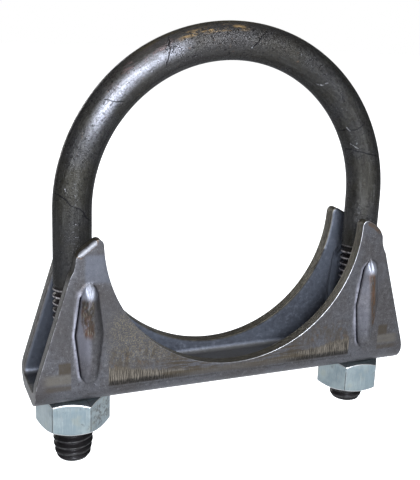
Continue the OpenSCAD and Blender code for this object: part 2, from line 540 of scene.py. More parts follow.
class Sheet:
    """The saddle's sheet: a middle surface with thickness, pressed ribs and worked edges."""

    def __init__(self):
        self.bm = bmesh.new()
        names = ("edge", "cut", "end", "tip", "crack", "lip", "crest", "inside")
        self.layers = {n: self.bm.verts.layers.float.new(n) for n in names}
        self.columns = {1: half_columns(RIGHT_EAR), -1: half_columns(LEFT_EAR)}
        self.grid()
        self.faces()
        self.rim()

    def vert(self, spot, **marks):
        vert = self.bm.verts.new(spot)
        for name, value in marks.items():
            vert[self.layers[name]] = value
        return vert

    def grid(self):
        """Middle surface as rows across the channel and columns along it."""
        front, back = (
            {side: sheet_rows(self.columns[side], Matrix.Diagonal((side, facing, 1))) for side in (1, -1)}
            for facing in (1, -1)
        )
        count = len(self.columns[1])
        self.spots = []
        for c in range(-count + 1, count):
            side = 1 if c >= 0 else -1
            self.spots.append(back[side][abs(c)][:0:-1] + front[side][abs(c)])

    def thicken(self, spot, normal, outer):
        """A point of the outer or inner face, with the ribs pressed out, and its marks."""
        height = 0.0
        marks = {"inside": 0.0 if outer else 1.0}
        if spot.z > FOLD_Z and abs(spot.y) > FLAT_Y:
            flank = 1 if (spot.x > 0) == (normal.y >= 0) else -1
            x = abs(spot.x)
            height = rib_height(x, spot.z, flank)
            marks["crest"] = rib_level(x, spot.z)
            depth = crack(x, spot.z, flank)
            lip = crack_lip(x, spot.z, flank)
            if outer:
                height += LIP_HEIGHT * lip - CRACK_DEPTH * depth
                marks.update(crack=depth, lip=lip)
            else:
                height *= 0.92
                marks["crack"] = 0.3 * depth
        offset = MID_T if outer else -MID_T
        return self.vert(spot + normal * (offset + height), **marks)

    def faces(self):
        """The outer and inner face of the sheet."""
        self.outer = [[self.thicken(p, n, True) for p, n in column] for column in self.spots]
        self.inner = [[self.thicken(p, n, False) for p, n in column] for column in self.spots]
        for side in (self.outer, self.inner):
            bridge(self.bm, side)

    def edge_loop(self):
        """The sheet's boundary as (column, row, direction out of the sheet), in order."""
        last = len(self.spots) - 1
        top = len(self.spots[0]) - 1
        loop = [(c, top, self.top_out(c)) for c in range(last + 1)]
        loop += [(last, r, self.end_out(last, r)) for r in range(top - 1, 0, -1)]
        loop += [(c, 0, self.top_out(c)) for c in range(last, -1, -1)]
        return loop + [(0, r, self.end_out(0, r)) for r in range(1, top)]

    def top_out(self, c):
        """Direction out of the sheet at the top of a column."""
        from_middle = c - len(self.columns[1]) + 1
        side = 1 if from_middle >= 0 else -1
        normal = self.columns[side][abs(from_middle)][3]
        return Vector((side * normal.x, 0, normal.y))

    def end_out(self, c, r):
        """Direction out of the sheet at an end edge, square to the edge within the sheet."""
        spot, normal = self.spots[c][r]
        tangent = self.spots[c][r + 1][0] - self.spots[c][r - 1][0]
        out = tangent.cross(normal).normalized()
        return out if out.x * spot.x > 0 else -out

    def rim(self):
        """Cut edge: rolled over towards the outer face, with a small burr inside."""
        strips = []
        for c, r, out in self.edge_loop():
            spot, normal = self.spots[c][r]
            outward = out.x if spot.x > 0 else -out.x
            tip = smooth(-5.5, -3.4, spot.z) * smooth(0.45, 0.7, out.z) * smooth(0.2, 0.5, outward)
            tip *= 1.0 if spot.x * spot.y > 0 else 0.25
            end = smooth(0.88, 0.95, outward)
            roll = lerp(0.12, 0.8, tip)
            strip = [self.outer[c][r]]
            for i in range(5):
                curl = polar(math.pi / 2 * (1 - i / 4), roll)
                rolled = spot + out * (RIM - roll + curl.x) + normal * (MID_T - roll + curl.y)
                cut = 1.0 if i == 4 else 0.0
                strip.append(self.vert(rolled, edge=float(0 < i < 3), tip=tip, cut=cut, end=end))
            for drawn_in, up in ((0.02, 0.2 - roll * 0.3), (0.05, 0.3 - MID_T), (0.02, BURR - MID_T)):
                strip.append(self.vert(spot + out * (RIM - drawn_in) + normal * up, cut=1.0, end=end))
            burr = spot + out * (RIM - BURR) - normal * MID_T
            strip.append(self.vert(burr, cut=0.8, end=end, inside=1.0))
            strip.append(self.inner[c][r])
            strips.append(strip)
        bridge(self.bm, strips + strips[:1])


def hole_tool(x):
    """A round cutter for a bolt hole, flared a little at both faces of the web."""
    bm = bmesh.new()
    flare = 0.25
    low, high = BOTTOM_Z, BOTTOM_Z + SHEET_T
    rings = [
        (HOLE_R + flare + 1.2, low - 1.2),
        (HOLE_R, low + flare),
        (HOLE_R, high - flare),
        (HOLE_R + flare * 0.4, high + 0.05),
        (HOLE_R + flare * 0.4, high + 1.5),
    ]
    axis = Vector((x, 0))
    angles = [2 * math.pi * (i + 0.37) / HOLE_SIDES for i in range(HOLE_SIDES)]
    rows = [[bm.verts.new((*(axis + polar(a, radius)), z)) for a in angles] for radius, z in rings]
    bridge(bm, [row + row[:1] for row in rows])
    bm.faces.new(rows[0][::-1])
    bm.faces.new(rows[-1])
    bmesh.ops.recalc_face_normals(bm, faces=bm.faces)
    return make_object("hole_tool", bm, [])


def cut_holes(obj):
    """Cuts both bolt holes through the web."""
    for side in (-1, 1):
        tool = hole_tool(side * LEG_X)
        modifier = obj.modifiers.new("hole", "BOOLEAN")
        modifier.operation = "DIFFERENCE"
        modifier.solver = "EXACT"
        modifier.object = tool
        with bpy.context.temp_override(object=obj):
            bpy.ops.object.modifier_apply(modifier=modifier.name)
        bpy.data.objects.remove(tool)


def copy_marks(mesh, spots, marks):
    """Gives each vertex the marks of the nearest vertex of the uncut sheet."""
    tree = KDTree(len(spots))
    for i, spot in enumerate(spots):
        tree.insert(spot, i)
    tree.balance()
    nearest = [tree.find(v.co)[1] for v in mesh.vertices]
    for name, values in marks.items():
        if name in mesh.attributes:
            mesh.attributes.remove(mesh.attributes[name])
        layer = mesh.attributes.new(name, "FLOAT", "POINT")
        layer.data.foreach_set("value", [values[i] for i in nearest])


def build_saddle(materials):
    """The pressed channel with its ribs, ears, worked edges and bolt holes."""
    sheet = Sheet()
    bmesh.ops.recalc_face_normals(sheet.bm, faces=sheet.bm.faces)
    spots = [v.co * MM for v in sheet.bm.verts]
    marks = {n: [v[layer] for v in sheet.bm.verts] for n, layer in sheet.layers.items()}
    obj = make_object("saddle_channel", sheet.bm, materials)
    cut_holes(obj)
    copy_marks(obj.data, spots, marks)
    weigh_normals(obj)
    return obj


# ---- Nuts ----


def hex_corner(node, x):
    """Azimuth and distance of a CAD nut's farthest corner from its axis."""
    best = max(frame["nodes"][node].data.vertices, key=lambda v: math.hypot(v.co.x / MM - x, v.co.y / MM))
    dx, dy = best.co.x / MM - x, best.co.y / MM
    return math.atan2(dy, dx), math.hypot(dx, dy)


def hex_ring(corner_angle, corner_r):
    """Rounded hexagon, as points with a mark that is 1 on the middle of each corner."""
    centre_r = corner_r - NUT_ROUND / math.cos(math.pi / 6)
    points = []
    for k in range(6):
        angle = corner_angle + k * math.pi / 3
        for i, mark in enumerate((0.0, 0.7, 1.0, 0.7, 0.0)):
            turn = angle + math.radians(-30 + 15 * i)
            points.append((polar(angle, centre_r) + polar(turn, NUT_ROUND), mark))
        start = points[-1][0]
        goal = polar(angle + math.pi / 3, centre_r) + polar(angle + math.pi / 6, NUT_ROUND)
        points += [(lerp(start, goal, i / 8), 0.0) for i in range(1, 8)]
    return points


def shell_profile(face_r, reach, height):
    """Rows (radius, height, edge mark, bevel mark) of a nut's outside at a distance from its axis."""
    slope = math.tan(math.pi / 6)
    drop = (reach - face_r) * slope
    lower = [
        (face_r - 0.5, 0.0, 0.0, 0.0),
        (face_r - 0.12, 0.0, 0.2, 0.3),
        (face_r + 0.08, 0.06, 0.3, 1.0),
        (reach - 0.16, drop - 0.16 * slope, 0.2, 1.0),
        (reach - 0.03, drop + 0.03, 1.0, 0.4),
        (reach, drop + 0.16, 0.4, 0.0),
        (reach, drop + 0.4, 0.0, 0.0),
    ]
    return [(r, height - z, edge, bevel) for r, z, edge, bevel in lower] + lower[::-1]


def nut_shell(bm, x, low, high, corner_angle, corner_r):
    """The nut's outside, from the rim of its top face to the rim of its bottom face."""
    face_r = corner_r * math.cos(math.pi / 6) * NUT_FACE
    layers = [bm.verts.layers.float[name] for name in NUT_MARKS]
    columns = []
    for point, corner in hex_ring(corner_angle, corner_r):
        column = []
        for radius, z, edge, bevel in shell_profile(face_r, point.length, high - low):
            flat = Vector((x, 0)) + radius * point.normalized()
            vert = bm.verts.new((*flat, low + z))
            for layer, value in zip(layers, (edge, bevel, corner)):
                vert[layer] = value
            column.append(vert)
        columns.append(column)
    bridge(bm, columns + columns[:1])


def nut_thread(bm, x, low, high):
    """The nut's thread, which meshes with its leg's, opened by a countersink at each face."""
    end_z = LEFT_END_Z if x < 0 else RIGHT_END_Z
    start = math.pi if x < 0 else 0.0
    first = math.floor((low - end_z) / PITCH) - 2
    last = math.ceil((high - end_z) / PITCH) + 2
    stations = [end_z + PITCH * (n + u) for n in range(first, last) for u in THREAD_ROWS]
    per_turn = len(THREAD_ROWS)
    rows = []
    for k in range(len(stations) - per_turn):
        row = []
        for turn in (j / ROD_SIDES for j in range(ROD_SIDES)):
            z = stations[k] + PITCH * turn
            depth = thread_depth((z - end_z) / PITCH - turn)
            sink = CREST_R + 0.5 - min(z - low, high - z)
            radius = max(lerp(CREST_R, ROOT_R, depth) + NUT_CLEARANCE, sink)
            flat = Vector((x, 0)) + polar(start + 2 * math.pi * turn, radius)
            row.append(bm.verts.new((*flat, z)))
        rows.append(row)
    faces = trim(bm, helix_faces(bm, rows), high, 1)
    trim(bm, faces, low, -1)


def build_nut(name, node, materials):
    """A plated hexagon nut with chamfered faces and a real thread."""
    x = joints[node + "_turn"]["pos_m"][0] / MM
    low, high = (corner.z for corner in box_mm(node))
    corner_angle, corner_r = hex_corner(node, x)
    bm = bmesh.new()
    for mark in NUT_MARKS:
        bm.verts.layers.float.new(mark)
    nut_thread(bm, x, low, high)
    nut_shell(bm, x, low, high, corner_angle, corner_r)
    for z in (low, high):
        rim = [e for e in bm.edges if e.is_boundary and abs(e.verts[0].co.z - z) < 1e-3]
        bmesh.ops.triangle_fill(bm, edges=rim, use_beauty=True, use_dissolve=False)
    bmesh.ops.recalc_face_normals(bm, faces=bm.faces)
    obj = make_object(name, bm, materials)
    weigh_normals(obj)
    return obj


# ---- Materials ----


class Shade:
    """A material on one Principled shader. Its skin is the colour painted so far."""

    def __init__(self, name, colour, metallic):
        self.material = bpy.data.materials.new(name)
        self.material.use_nodes = True
        self.tree = self.material.node_tree
        self.shader = self.tree.nodes["Principled BSDF"]
        self.shader.inputs["Base Color"].default_value = (*colour, 1)
        self.shader.inputs["Metallic"].default_value = metallic
        self.mm = self.grow(self.node("TexCoord").outputs["Object"], 1 / MM)
        self.x, self.y, self.z = self.node("SeparateXYZ", {0: self.mm}).outputs

    def node(self, kind, inputs=None, **settings):
        """A node with its settings, and with a value or a link on each input named."""
        node = self.tree.nodes.new("ShaderNode" + kind)
        for key, value in settings.items():
            setattr(node, key, value)
        for key, value in (inputs or {}).items():
            self.plug(node.inputs[key], value)
        return node

    def plug(self, socket, value):
        if isinstance(value, bpy.types.NodeSocket):
            self.tree.links.new(value, socket)
        else:
            socket.default_value = value

    def math(self, operation, a, b=0.0, c=0.0):
        return self.node("Math", {0: a, 1: b, 2: c}, operation=operation).outputs[0]

    def vector(self, operation, a, b=(0, 0, 0), out="Vector"):
        return self.node("VectorMath", {0: a, 1: b}, operation=operation).outputs[out]

    def grow(self, vector, factor):
        """A vector times a number."""
        return self.node("VectorMath", {0: vector, "Scale": factor}, operation="SCALE").outputs[0]

    def chain(self, operation, values):
        return functools.reduce(lambda a, b: self.math(operation, a, b), values)

    def times(self, *values):
        return self.chain("MULTIPLY", values)

    def most(self, *values):
        return self.chain("MAXIMUM", values)

    def add(self, *values):
        return self.chain("ADD", values)

    def spread(self, value, factor, offset):
        return self.math("MULTIPLY_ADD", value, factor, offset)

    def absent(self, value):
        """1 where a mask is 0, and 0 where it is 1."""
        return self.math("SUBTRACT", 1.0, value)

    def stretch(self, x=1.0, y=1.0, z=1.0, place=None):
        """A place, in millimetres, scaled apart along each axis."""
        return self.node("Mapping", {"Vector": place or self.mm, "Scale": (x, y, z)}).outputs[0]

    def noise(self, scale, detail=4.0, rough=0.55, place=None):
        inputs = {"Vector": place or self.mm, "Scale": scale, "Detail": detail, "Roughness": rough}
        return self.node("TexNoise", inputs).outputs["Fac"]

    def field(self, scale, size):
        """Random offsets, up to about half of size millimetres each way."""
        noise = self.node("TexNoise", {"Vector": self.mm, "Scale": scale, "Detail": 2.0})
        return self.grow(self.vector("SUBTRACT", noise.outputs["Color"], (0.5, 0.5, 0.5)), size)

    def step(self, value, low, high, out_low=0.0, out_high=1.0):
        """A soft step of value from low to high."""
        inputs = {"Value": value, "From Min": low, "From Max": high, "To Min": out_low, "To Max": out_high}
        return self.node("MapRange", inputs, interpolation_type="SMOOTHSTEP").outputs["Result"]

    def inside(self, value, low, high, soft):
        """1 where value lies between low and high, with soft ends."""
        above = self.step(value, low - soft, low + soft)
        return self.times(above, self.step(value, high + soft, high - soft))

    def mark(self, name):
        """A mark that the mesh carries."""
        return self.node("Attribute", attribute_name=name).outputs["Fac"]

    def scratch(self, start, end, width, place):
        """1 within width of a line between two (x, z) ends."""
        start = Vector((start[0], 0, start[1]))
        line = Vector((end[0], 0, end[1])) - start
        from_start = self.vector("SUBTRACT", self.vector("MULTIPLY", place, (1, 0, 1)), start)
        dot = self.vector("DOT_PRODUCT", from_start, line, "Value")
        share = self.node("Clamp", {"Value": self.math("DIVIDE", dot, line.length_squared)}).outputs[0]
        gap = self.vector("DISTANCE", from_start, self.grow(line, share), "Value")
        return self.step(gap, width, width * 0.4)

    def mix(self, share, a, b):
        """Colour b over colour a, by a share."""
        node = self.node("Mix", {0: share}, data_type="RGBA")
        for slot, colour in ((6, a), (7, b)):
            self.plug(node.inputs[slot], (*colour, 1) if isinstance(colour, tuple) else colour)
        return node.outputs[2]

    def paint(self, colour, *shares):
        """Lays a colour over the skin, by the product of the shares."""
        self.skin = self.mix(self.times(*shares), self.skin, colour)

    def tone(self, value, low, high, amount, colour):
        """Lays a colour over the skin where a value has passed from low to high."""
        self.paint(colour, self.step(value, low, high, 0, amount))

    def finish(self, rough, height, depth, strength):
        """Plugs in the skin, the roughness and a bump, whose depth is in millimetres."""
        bump = self.node("Bump", {"Height": height, "Distance": depth * MM, "Strength": strength})
        self.plug(self.shader.inputs["Base Color"], self.skin)
        self.plug(self.shader.inputs["Roughness"], rough)
        self.plug(self.shader.inputs["Normal"], bump.outputs[0])
        return self.material


# Thin marks on the rod's front, as (x, z) ends in millimetres.
ROD_SCRATCHES = [
    ((-14.2, 35.6), (-15.0, 30.6)), ((-13.6, 34.2), (-14.3, 32.6)), ((2.0, 34.1), (4.9, 37.3)),
    ((26.0, 14.2), (34.4, 12.6)), ((-35.0, 7.6), (-28.2, 2.0)), ((-22.8, 24.0), (-26.6, 24.4)),
    ((22.5, 17.5), (28.0, 19.5)),
]
ROD_NICKS = [
    ((16.9, 27.6), (17.9, 27.5)), ((17.9, 27.5), (18.9, 27.9)), ((1.7, 33.8), (2.0, 34.3)),
    ((24.7, 18.8), (25.3, 18.3)), ((26.2, 15.4), (27.6, 14.5)), ((27.0, 16.0), (27.4, 15.3)),
    ((-33.7, 8.5), (-33.6, 8.1)), ((29.4, -0.6), (30.4, -2.0)),
]
SCRATCH_W = 0.13
NICK_W = 0.1


def mill_scale(s):
    """Cloudy dark scale, streaked along the rod."""
    s.skin = s.mix(s.step(s.cloud, 0.36, 0.64), (0.019, 0.0175, 0.0135), (0.023, 0.0225, 0.0225))
    s.tone(s.streak, 0.5, 0.7, 0.6, (0.05, 0.049, 0.045))
    s.tone(s.streak, 0.48, 0.32, 0.6, (0.011, 0.01, 0.009))
    s.tone(s.grain, 0.5, 0.74, 0.7, (0.055, 0.053, 0.048))
    s.tone(s.grain, 0.46, 0.3, 0.75, (0.008, 0.007, 0.007))
    s.tone(s.speck, 0.62, 0.72, 0.7, (0.107, 0.107, 0.113))


def arch_marks(s):
    """Painted highlight on the arch's upper left front, painted light on its top, a browned outer side
    and painted shade on the lower left leg. Returns the rust and the shaded leg.
    """
    radial = s.vector("MULTIPLY", s.vector("SUBTRACT", s.mm, (0, 0, BEND_Z)), (1, 0, 1))
    outward = s.math("SUBTRACT", s.vector("LENGTH", radial, out="Value"), LEG_X)
    upper_left = s.times(s.inside(s.x, -29, -12, 3), s.step(s.z, BEND_Z + 8, BEND_Z + 20), s.front)
    flecked = s.step(s.noise(3.0, 4, 0.75), 0.36, 0.58, 0.3, 1.0)
    streaked = s.step(s.streak, 0.36, 0.5, 0.45, 1.0)
    # Painted highlight: brighter metal where the key light reflects on the arch's upper left front.
    painted_highlight = (0.27, 0.275, 0.31)
    s.paint(painted_highlight, upper_left, s.inside(outward, 0.0, 1.6, 1.1), flecked, streaked, 0.9)
    # Painted shade: the lower part of the left leg is darkened.
    shaded_low_leg = s.times(s.step(s.z, 12, -2), s.step(s.x, -22, -27))
    s.paint((0.009, 0.0085, 0.008), shaded_low_leg, 0.45)
    # Painted light: the arch is lighter towards its top and left, as if lit from above.
    s.paint((0.054, 0.05, 0.048), s.step(s.z, BEND_Z + 14, BEND_Z + 33), s.step(s.x, 22, -6), 0.35)
    broken = s.noise(0.9, 6, 0.75, s.stretch(0.4, 1.2, 1.2, s.straight))
    rust = s.times(s.inside(outward, 2.0, 2.9, 0.4), s.step(broken, 0.48, 0.56), s.inside(s.x, -12, 1, 1.5))
    s.paint((0.21, 0.14, 0.065), rust, 0.85)
    blush = s.times(s.inside(outward, 1.6, 3.2, 0.5), s.step(broken, 0.52, 0.6), s.inside(s.x, -25, -13, 2))
    s.paint((0.085, 0.058, 0.055), blush, s.step(s.z, BEND_Z, BEND_Z + 8), 0.6)
    olive = s.times(s.step(outward, 3.2, 3.5), s.inside(s.x, -22, 14, 4), s.step(s.z, 30, 34))
    s.paint((0.062, 0.05, 0.022), olive, s.step(broken, 0.4, 0.55), 0.6)
    fleck = s.step(s.noise(0.9, 5, 0.7), 0.62, 0.7)
    s.paint((0.08, 0.05, 0.032), fleck, s.step(s.x, 24, 10), s.step(s.z, 10, 22), 0.5)
    return rust, shaded_low_leg


def line_marks(s):
    """Dark scratches, bright nicks and painted glints along the left leg's highlight on the rod's front. Returns
    the scratches.
    """
    wobble = s.vector("ADD", s.mm, s.field(0.4, 1.6))
    scratch = s.most(*[s.scratch(start, end, SCRATCH_W, wobble) for start, end in ROD_SCRATCHES])
    scratch = s.times(scratch, s.front)
    s.paint((0.004, 0.004, 0.005), scratch, 0.9)
    nick = s.most(*[s.scratch(start, end, NICK_W, wobble) for start, end in ROD_NICKS])
    s.paint((0.315, 0.315, 0.327), nick, s.front, s.step(s.speck, 0.42, 0.54), 0.7)
    # Painted highlight: bright glints along the left leg's highlight line.
    glint = s.times(s.inside(s.x, -32.1, -31.5, 0.7), s.inside(s.z, -4, 15, 3), s.front)
    s.paint((0.25, 0.25, 0.26), glint, s.step(s.noise(2.8, 3, 0.7), 0.6, 0.66), 0.7)
    return scratch


def thread_marks(s):
    """Dark valleys, worn crests and dark leg ends. Returns the thread's mask and the ends'."""
    thread, depth = s.mark("thread"), s.mark("depth")
    worn = s.step(s.z, BOTTOM_Z + 8, BOTTOM_Z + 20, 0.12, 0.85)
    crest = s.times(thread, s.step(depth, 0.16, 0.02), s.step(s.grain, 0.38, 0.58, 0.1, 1.0), worn)
    s.paint((0.014, 0.01, 0.011), thread, s.step(depth, 0.05, 0.3), 0.8)
    s.paint((0.46, 0.43, 0.43), crest)
    tip = s.step(s.z, BOTTOM_Z - 1.0, BOTTOM_Z - 5.0)
    s.paint((0.009, 0.009, 0.009), tip, 0.6)
    return thread, tip


def bolt_steel():
    """Dark mill scale on the rod, with scratches, nicks, pits, rust and a worn thread, and painted light:
    a highlight on the arch, glints on the left leg, a lighter arch top and shade on the lower left leg.
    """
    s = Shade("bolt_steel", (0.025, 0.024, 0.024), 0.85)
    s.straight = s.node("Attribute", attribute_name="straight").outputs["Vector"]
    s.cloud = s.noise(0.13, 5, 0.6)
    s.grain = s.noise(1.5, 7, 0.75)
    s.speck = s.noise(4.2, 4, 0.65)
    s.streak = s.noise(1.0, 6, 0.7, s.stretch(0.16, 1.1, 1.1, s.straight))
    s.front = s.step(s.y, 0.5, -0.5)
    mill_scale(s)
    rust, shaded_low_leg = arch_marks(s)
    scratch = line_marks(s)
    thread, tip = thread_marks(s)
    pitted = s.step(s.noise(0.16, 3), 0.42, 0.56)
    pit = s.times(s.step(s.noise(2.2, 3, 0.6), 0.4, 0.34), pitted, s.absent(thread))
    s.paint((0.005, 0.005, 0.006), pit, 0.8)
    uneven = s.add(s.step(s.grain, 0.3, 0.75, -0.07, 0.2), s.step(s.speck, 0.4, 0.6, 0.06, -0.06))
    matt = s.times(s.most(tip, shaded_low_leg), 0.2)
    rough = s.add(s.step(s.cloud, 0.3, 0.7, 0.36, 0.28), uneven, s.times(rust, 0.15), matt)
    height = s.add(s.times(s.grain, 1.3), s.times(s.speck, 1.0), s.times(s.streak, 0.6))
    height = s.add(height, s.times(scratch, -0.8), s.times(pit, -0.8))
    s.shader.inputs["Specular Tint"].default_value = (0.3, 0.3, 0.32, 1.0)
    s.shader.inputs["Coat Weight"].default_value = 0.12
    s.shader.inputs["Coat Roughness"].default_value = 0.26
    return s.finish(rough, height, 0.1, 1.0)


def brushed_bands(s, wobble, level):
    """Bands brushed by the die above the fold. Returns their strokes and the shade under the outer ones."""
    stroke = s.noise(2.4, 4, 0.7, s.stretch(2.6, 1, 0.16))
    rise = s.spread(s.times(s.across, s.across), 0.0042, -27.9)
    below = s.math("SUBTRACT", s.add(rise, wobble), s.z)
    middle = s.times(s.step(below, -0.3, 0.6), s.step(s.z, -29.4, -28.9), s.step(s.across, 26.6, 26.3))
    light = s.times(middle, s.inside(s.z, -28.4, -25.2, 0.5), s.step(s.across, 4, 16, 0.35, 1.0))
    s.paint((0.045, 0.039, 0.031), middle, 0.6)
    s.paint(s.mix(s.step(stroke, 0.42, 0.6), (0.02, 0.016, 0.011), (0.135, 0.118, 0.095)), light, 0.85)
    under = s.times(middle, s.inside(s.z, -29.3, -28.1, 0.3), s.step(s.across, 8, 16))
    s.paint((0.005, 0.004, 0.003), under, s.step(stroke, 0.6, 0.5), 0.9)
    outer = s.times(s.step(s.across, 33.55, 33.8), s.step(s.across, 39.4, 37.6))
    bright = s.times(outer, s.inside(s.z, -27.6, -25.6, 0.45), s.step(level, 0.3, 0.55, 0.6, 1.0))
    s.paint((0.078, 0.07, 0.057), bright, 0.7)
    return s.times(light, stroke), s.times(outer, s.inside(s.z, -28.9, -27.9, 0.35))


def front_marks(s):
    """Die marks outside a flange: brushed bands, brown stains, painted shade under the outer bands
    and a dark fold line. Returns the brushing.
    """
    ragged = s.noise(0.9, 4, 0.7, s.stretch(1.2, 1, 0.5))
    level = s.noise(0.8, 5, 0.7, s.stretch(0.16, 1, 2.2))
    wobble = s.spread(ragged, 1.6, -0.8)
    brushed, shaded = brushed_bands(s, wobble, level)
    shelf = s.times(s.inside(s.across, 33.7, 36.0, 0.15), s.inside(s.z, -25.6, -23.3, 0.35))
    stain = s.times(s.inside(s.across, 12, 26.3, 1.0), s.inside(s.z, -26.0, -21.6, 1.2))
    stain = s.times(stain, s.step(ragged, 0.42, 0.58))
    streaks = s.times(s.inside(s.across, 3, 16, 3), s.inside(s.z, -28.6, -24.2, 1.0))
    streaks = s.times(streaks, s.step(level, 0.46, 0.54))
    dark = s.times(s.inside(s.across, 3, 13, 2), s.inside(s.z, -27.2, -24.0, 0.6), s.step(level, 0.52, 0.58))
    s.paint((0.011, 0.009, 0.006), dark, 0.75)
    # Brown over the shelf, stains and streaks, and as painted shade under the outer bands.
    s.paint((0.034, 0.026, 0.016), s.most(shelf, s.times(stain, 0.75), s.times(shaded, 0.8), streaks), 0.75)
    s.paint((0.09, 0.056, 0.032), stain, s.step(s.noise(0.7, 4, 0.7), 0.56, 0.64), 0.3)
    fold_line = s.inside(s.add(s.z, s.times(wobble, 0.5)), -29.75, -29.35, 0.12)
    patchy = s.step(s.noise(0.12, 2), 0.42, 0.5)
    s.paint((0.016, 0.015, 0.012), fold_line, s.step(s.across, 27, 25), patchy, 0.35)
    return brushed


def rib_rust(s, crest, off, ragged):
    """Where a rib is rusty: a ragged band along its crest, shorter and wider in the alike quarters."""
    middle = s.spread(s.z, s.spread(s.alike, 0.04, -0.14), s.spread(s.alike, -0.3, -1.8))
    from_line = s.math("ABSOLUTE", s.math("SUBTRACT", off, middle))
    narrowing = s.times(s.spread(s.z, 0.09, 1.95), s.alike)
    spread = s.add(narrowing, s.step(s.alike, 0, 1, 0.6, 0.45))
    reach = s.math("SUBTRACT", s.add(from_line, s.spread(ragged, 1.6, -0.8)), spread)
    tall = s.times(s.inside(s.z, -23.0, -10.7, 0.8), s.most(s.absent(s.alike), s.step(s.z, -19.2, -17.6)))
    patchy = s.step(s.noise(1.3, 6, 0.75, s.stretch(1.6, 1, 0.5)), 0.36, 0.5, 0.3, 1.0)
    rust = s.times(s.step(reach, 0.45, -0.35), tall, s.step(crest, 0.05, 0.25), patchy)
    return s.times(rust, s.step(ragged, 0.4, 0.5, s.step(s.alike, 0, 1, 0.2, 1.0), 1.0))


def rust_hue(s, ragged):
    """Brown with fine pale strokes in the alike quarters, and tawny in the others."""
    low = s.add(s.step(s.z, -13, -18.5, 0, 0.45), s.step(s.noise(1.1, 3), 0.46, 0.64, 0, 0.5))
    hue = s.mix(low, (0.015, 0.011, 0.006), (0.046, 0.022, 0.012))
    hue = s.mix(s.alike, s.mix(s.step(ragged, 0.46, 0.56), (0.026, 0.019, 0.011), (0.066, 0.033, 0.016)), hue)
    fine = s.noise(2.2, 3, 0.7, s.stretch(1.8, 1, 0.35))
    return s.mix(s.times(s.step(fine, 0.54, 0.62, 0, 0.6), s.alike), hue, (0.1, 0.09, 0.068))


def rib_marks(s):
    """A rib's painted highlights on its top end, crease-side flank and lip, its rust, and painted shade in the
    crease beside it. Returns the rust.
    """
    crest = s.mark("crest")
    centre = s.times(s.math("SIGN", s.x), RIB_X)
    off = s.times(s.math("SUBTRACT", centre, s.x), s.math("SIGN", s.y))
    # Painted highlight: pale lavender on the rib's crease-side flank, where it faces the light.
    near = s.times(s.step(crest, 0.03, 0.15), s.step(off, 0.5, -0.7), s.step(s.z, -26, -20, 0.3, 1.0))
    s.paint((0.102, 0.102, 0.123), near, s.step(s.times(s.x, s.y), -1, 1, 0.25, 0.5))
    ragged = s.noise(0.8, 5, 0.75, s.stretch(1.8, 1, 0.3))
    rust = rib_rust(s, crest, off, ragged)
    s.paint(rust_hue(s, ragged), rust, 0.9)
    # Painted highlight: a pale top end on each rib's crest.
    s.paint((0.164, 0.172, 0.197), s.step(crest, 0.02, 0.2), s.step(s.add(s.z, ragged), -11.2, -10.0), 0.55)
    # Painted highlight on the lip outside the crease.
    s.paint((0.271, 0.271, 0.312), s.mark("lip"), s.step(s.grain, 0.34, 0.54, 0.4, 1.0), 0.85)
    # Painted shade: a black line in the crease beside the rib.
    s.paint((0.003, 0.003, 0.006), s.step(s.mark("crack"), 0.2, 0.6))
    return rust


def outside_marks(s):
    """Grey sheet with a pale ear, a darker flank of painted shade, grimy ends and warm specks."""
    s.skin = s.mix(s.step(s.cloud, 0.38, 0.62), (0.043, 0.04, 0.04), (0.056, 0.056, 0.061))
    s.tone(s.grain, 0.5, 0.68, 0.75, (0.102, 0.1, 0.102))
    s.tone(s.grain, 0.48, 0.34, 0.75, (0.021, 0.018, 0.018))
    s.tone(s.speck, 0.6, 0.7, 0.6, (0.148, 0.148, 0.156))
    s.tone(s.speck, 0.42, 0.34, 0.6, (0.016, 0.015, 0.014))
    ear = s.times(s.inside(s.z, -8.4, -3.0, 0.5), s.inside(s.across, 24, 31, 0.4), s.alike)
    s.paint((0.086, 0.094, 0.115), ear, 0.45)
    # Painted shade: darker brown across the middle height of the alike quarters.
    flank = s.times(s.alike, s.inside(s.z, -21, -9, 2.5), s.step(s.cloud, 0.3, 0.6, 0.5, 1.0))
    s.paint((0.031, 0.027, 0.024), flank, 0.42)
    grimy = s.times(s.step(s.across, 35.5, 38.5), s.step(s.z, -26, -29.5), s.step(s.grain, 0.44, 0.56))
    s.paint((0.021, 0.016, 0.014), grimy, 0.5)
    warm = s.times(s.alike, s.inside(s.across, 10, 26, 2), s.inside(s.z, -25, -15, 2))
    s.paint((0.118, 0.1, 0.062), warm, s.step(s.speck, 0.5, 0.58), 0.6)


def inside_colour(s):
    """Slate blue inside the channel, browner on the web, with painted shade in the far ears and the ribs' inner
    creases.
    """
    outside = s.skin
    s.skin = s.mix(s.step(s.cloud, 0.36, 0.62), (0.06, 0.065, 0.079), (0.09, 0.1, 0.122))
    s.tone(s.grain, 0.5, 0.72, 0.6, (0.172, 0.184, 0.217))
    s.tone(s.grain, 0.46, 0.32, 0.6, (0.033, 0.035, 0.045))
    web_top = BOTTOM_Z + SHEET_T
    s.paint((0.075, 0.07, 0.062), s.step(s.z, web_top + 1.0, web_top + 0.2), 0.7)
    # Painted shade in the ribs' creases on the inside.
    s.paint((0.016, 0.016, 0.021), s.step(s.mark("crack"), 0.05, 0.25))
    # Painted shade: the inside of the far ears is darkened.
    s.paint((0.018, 0.02, 0.025), s.step(s.across, 26, 31), s.absent(s.alike), 0.75)
    inside, s.skin = s.skin, outside
    return inside


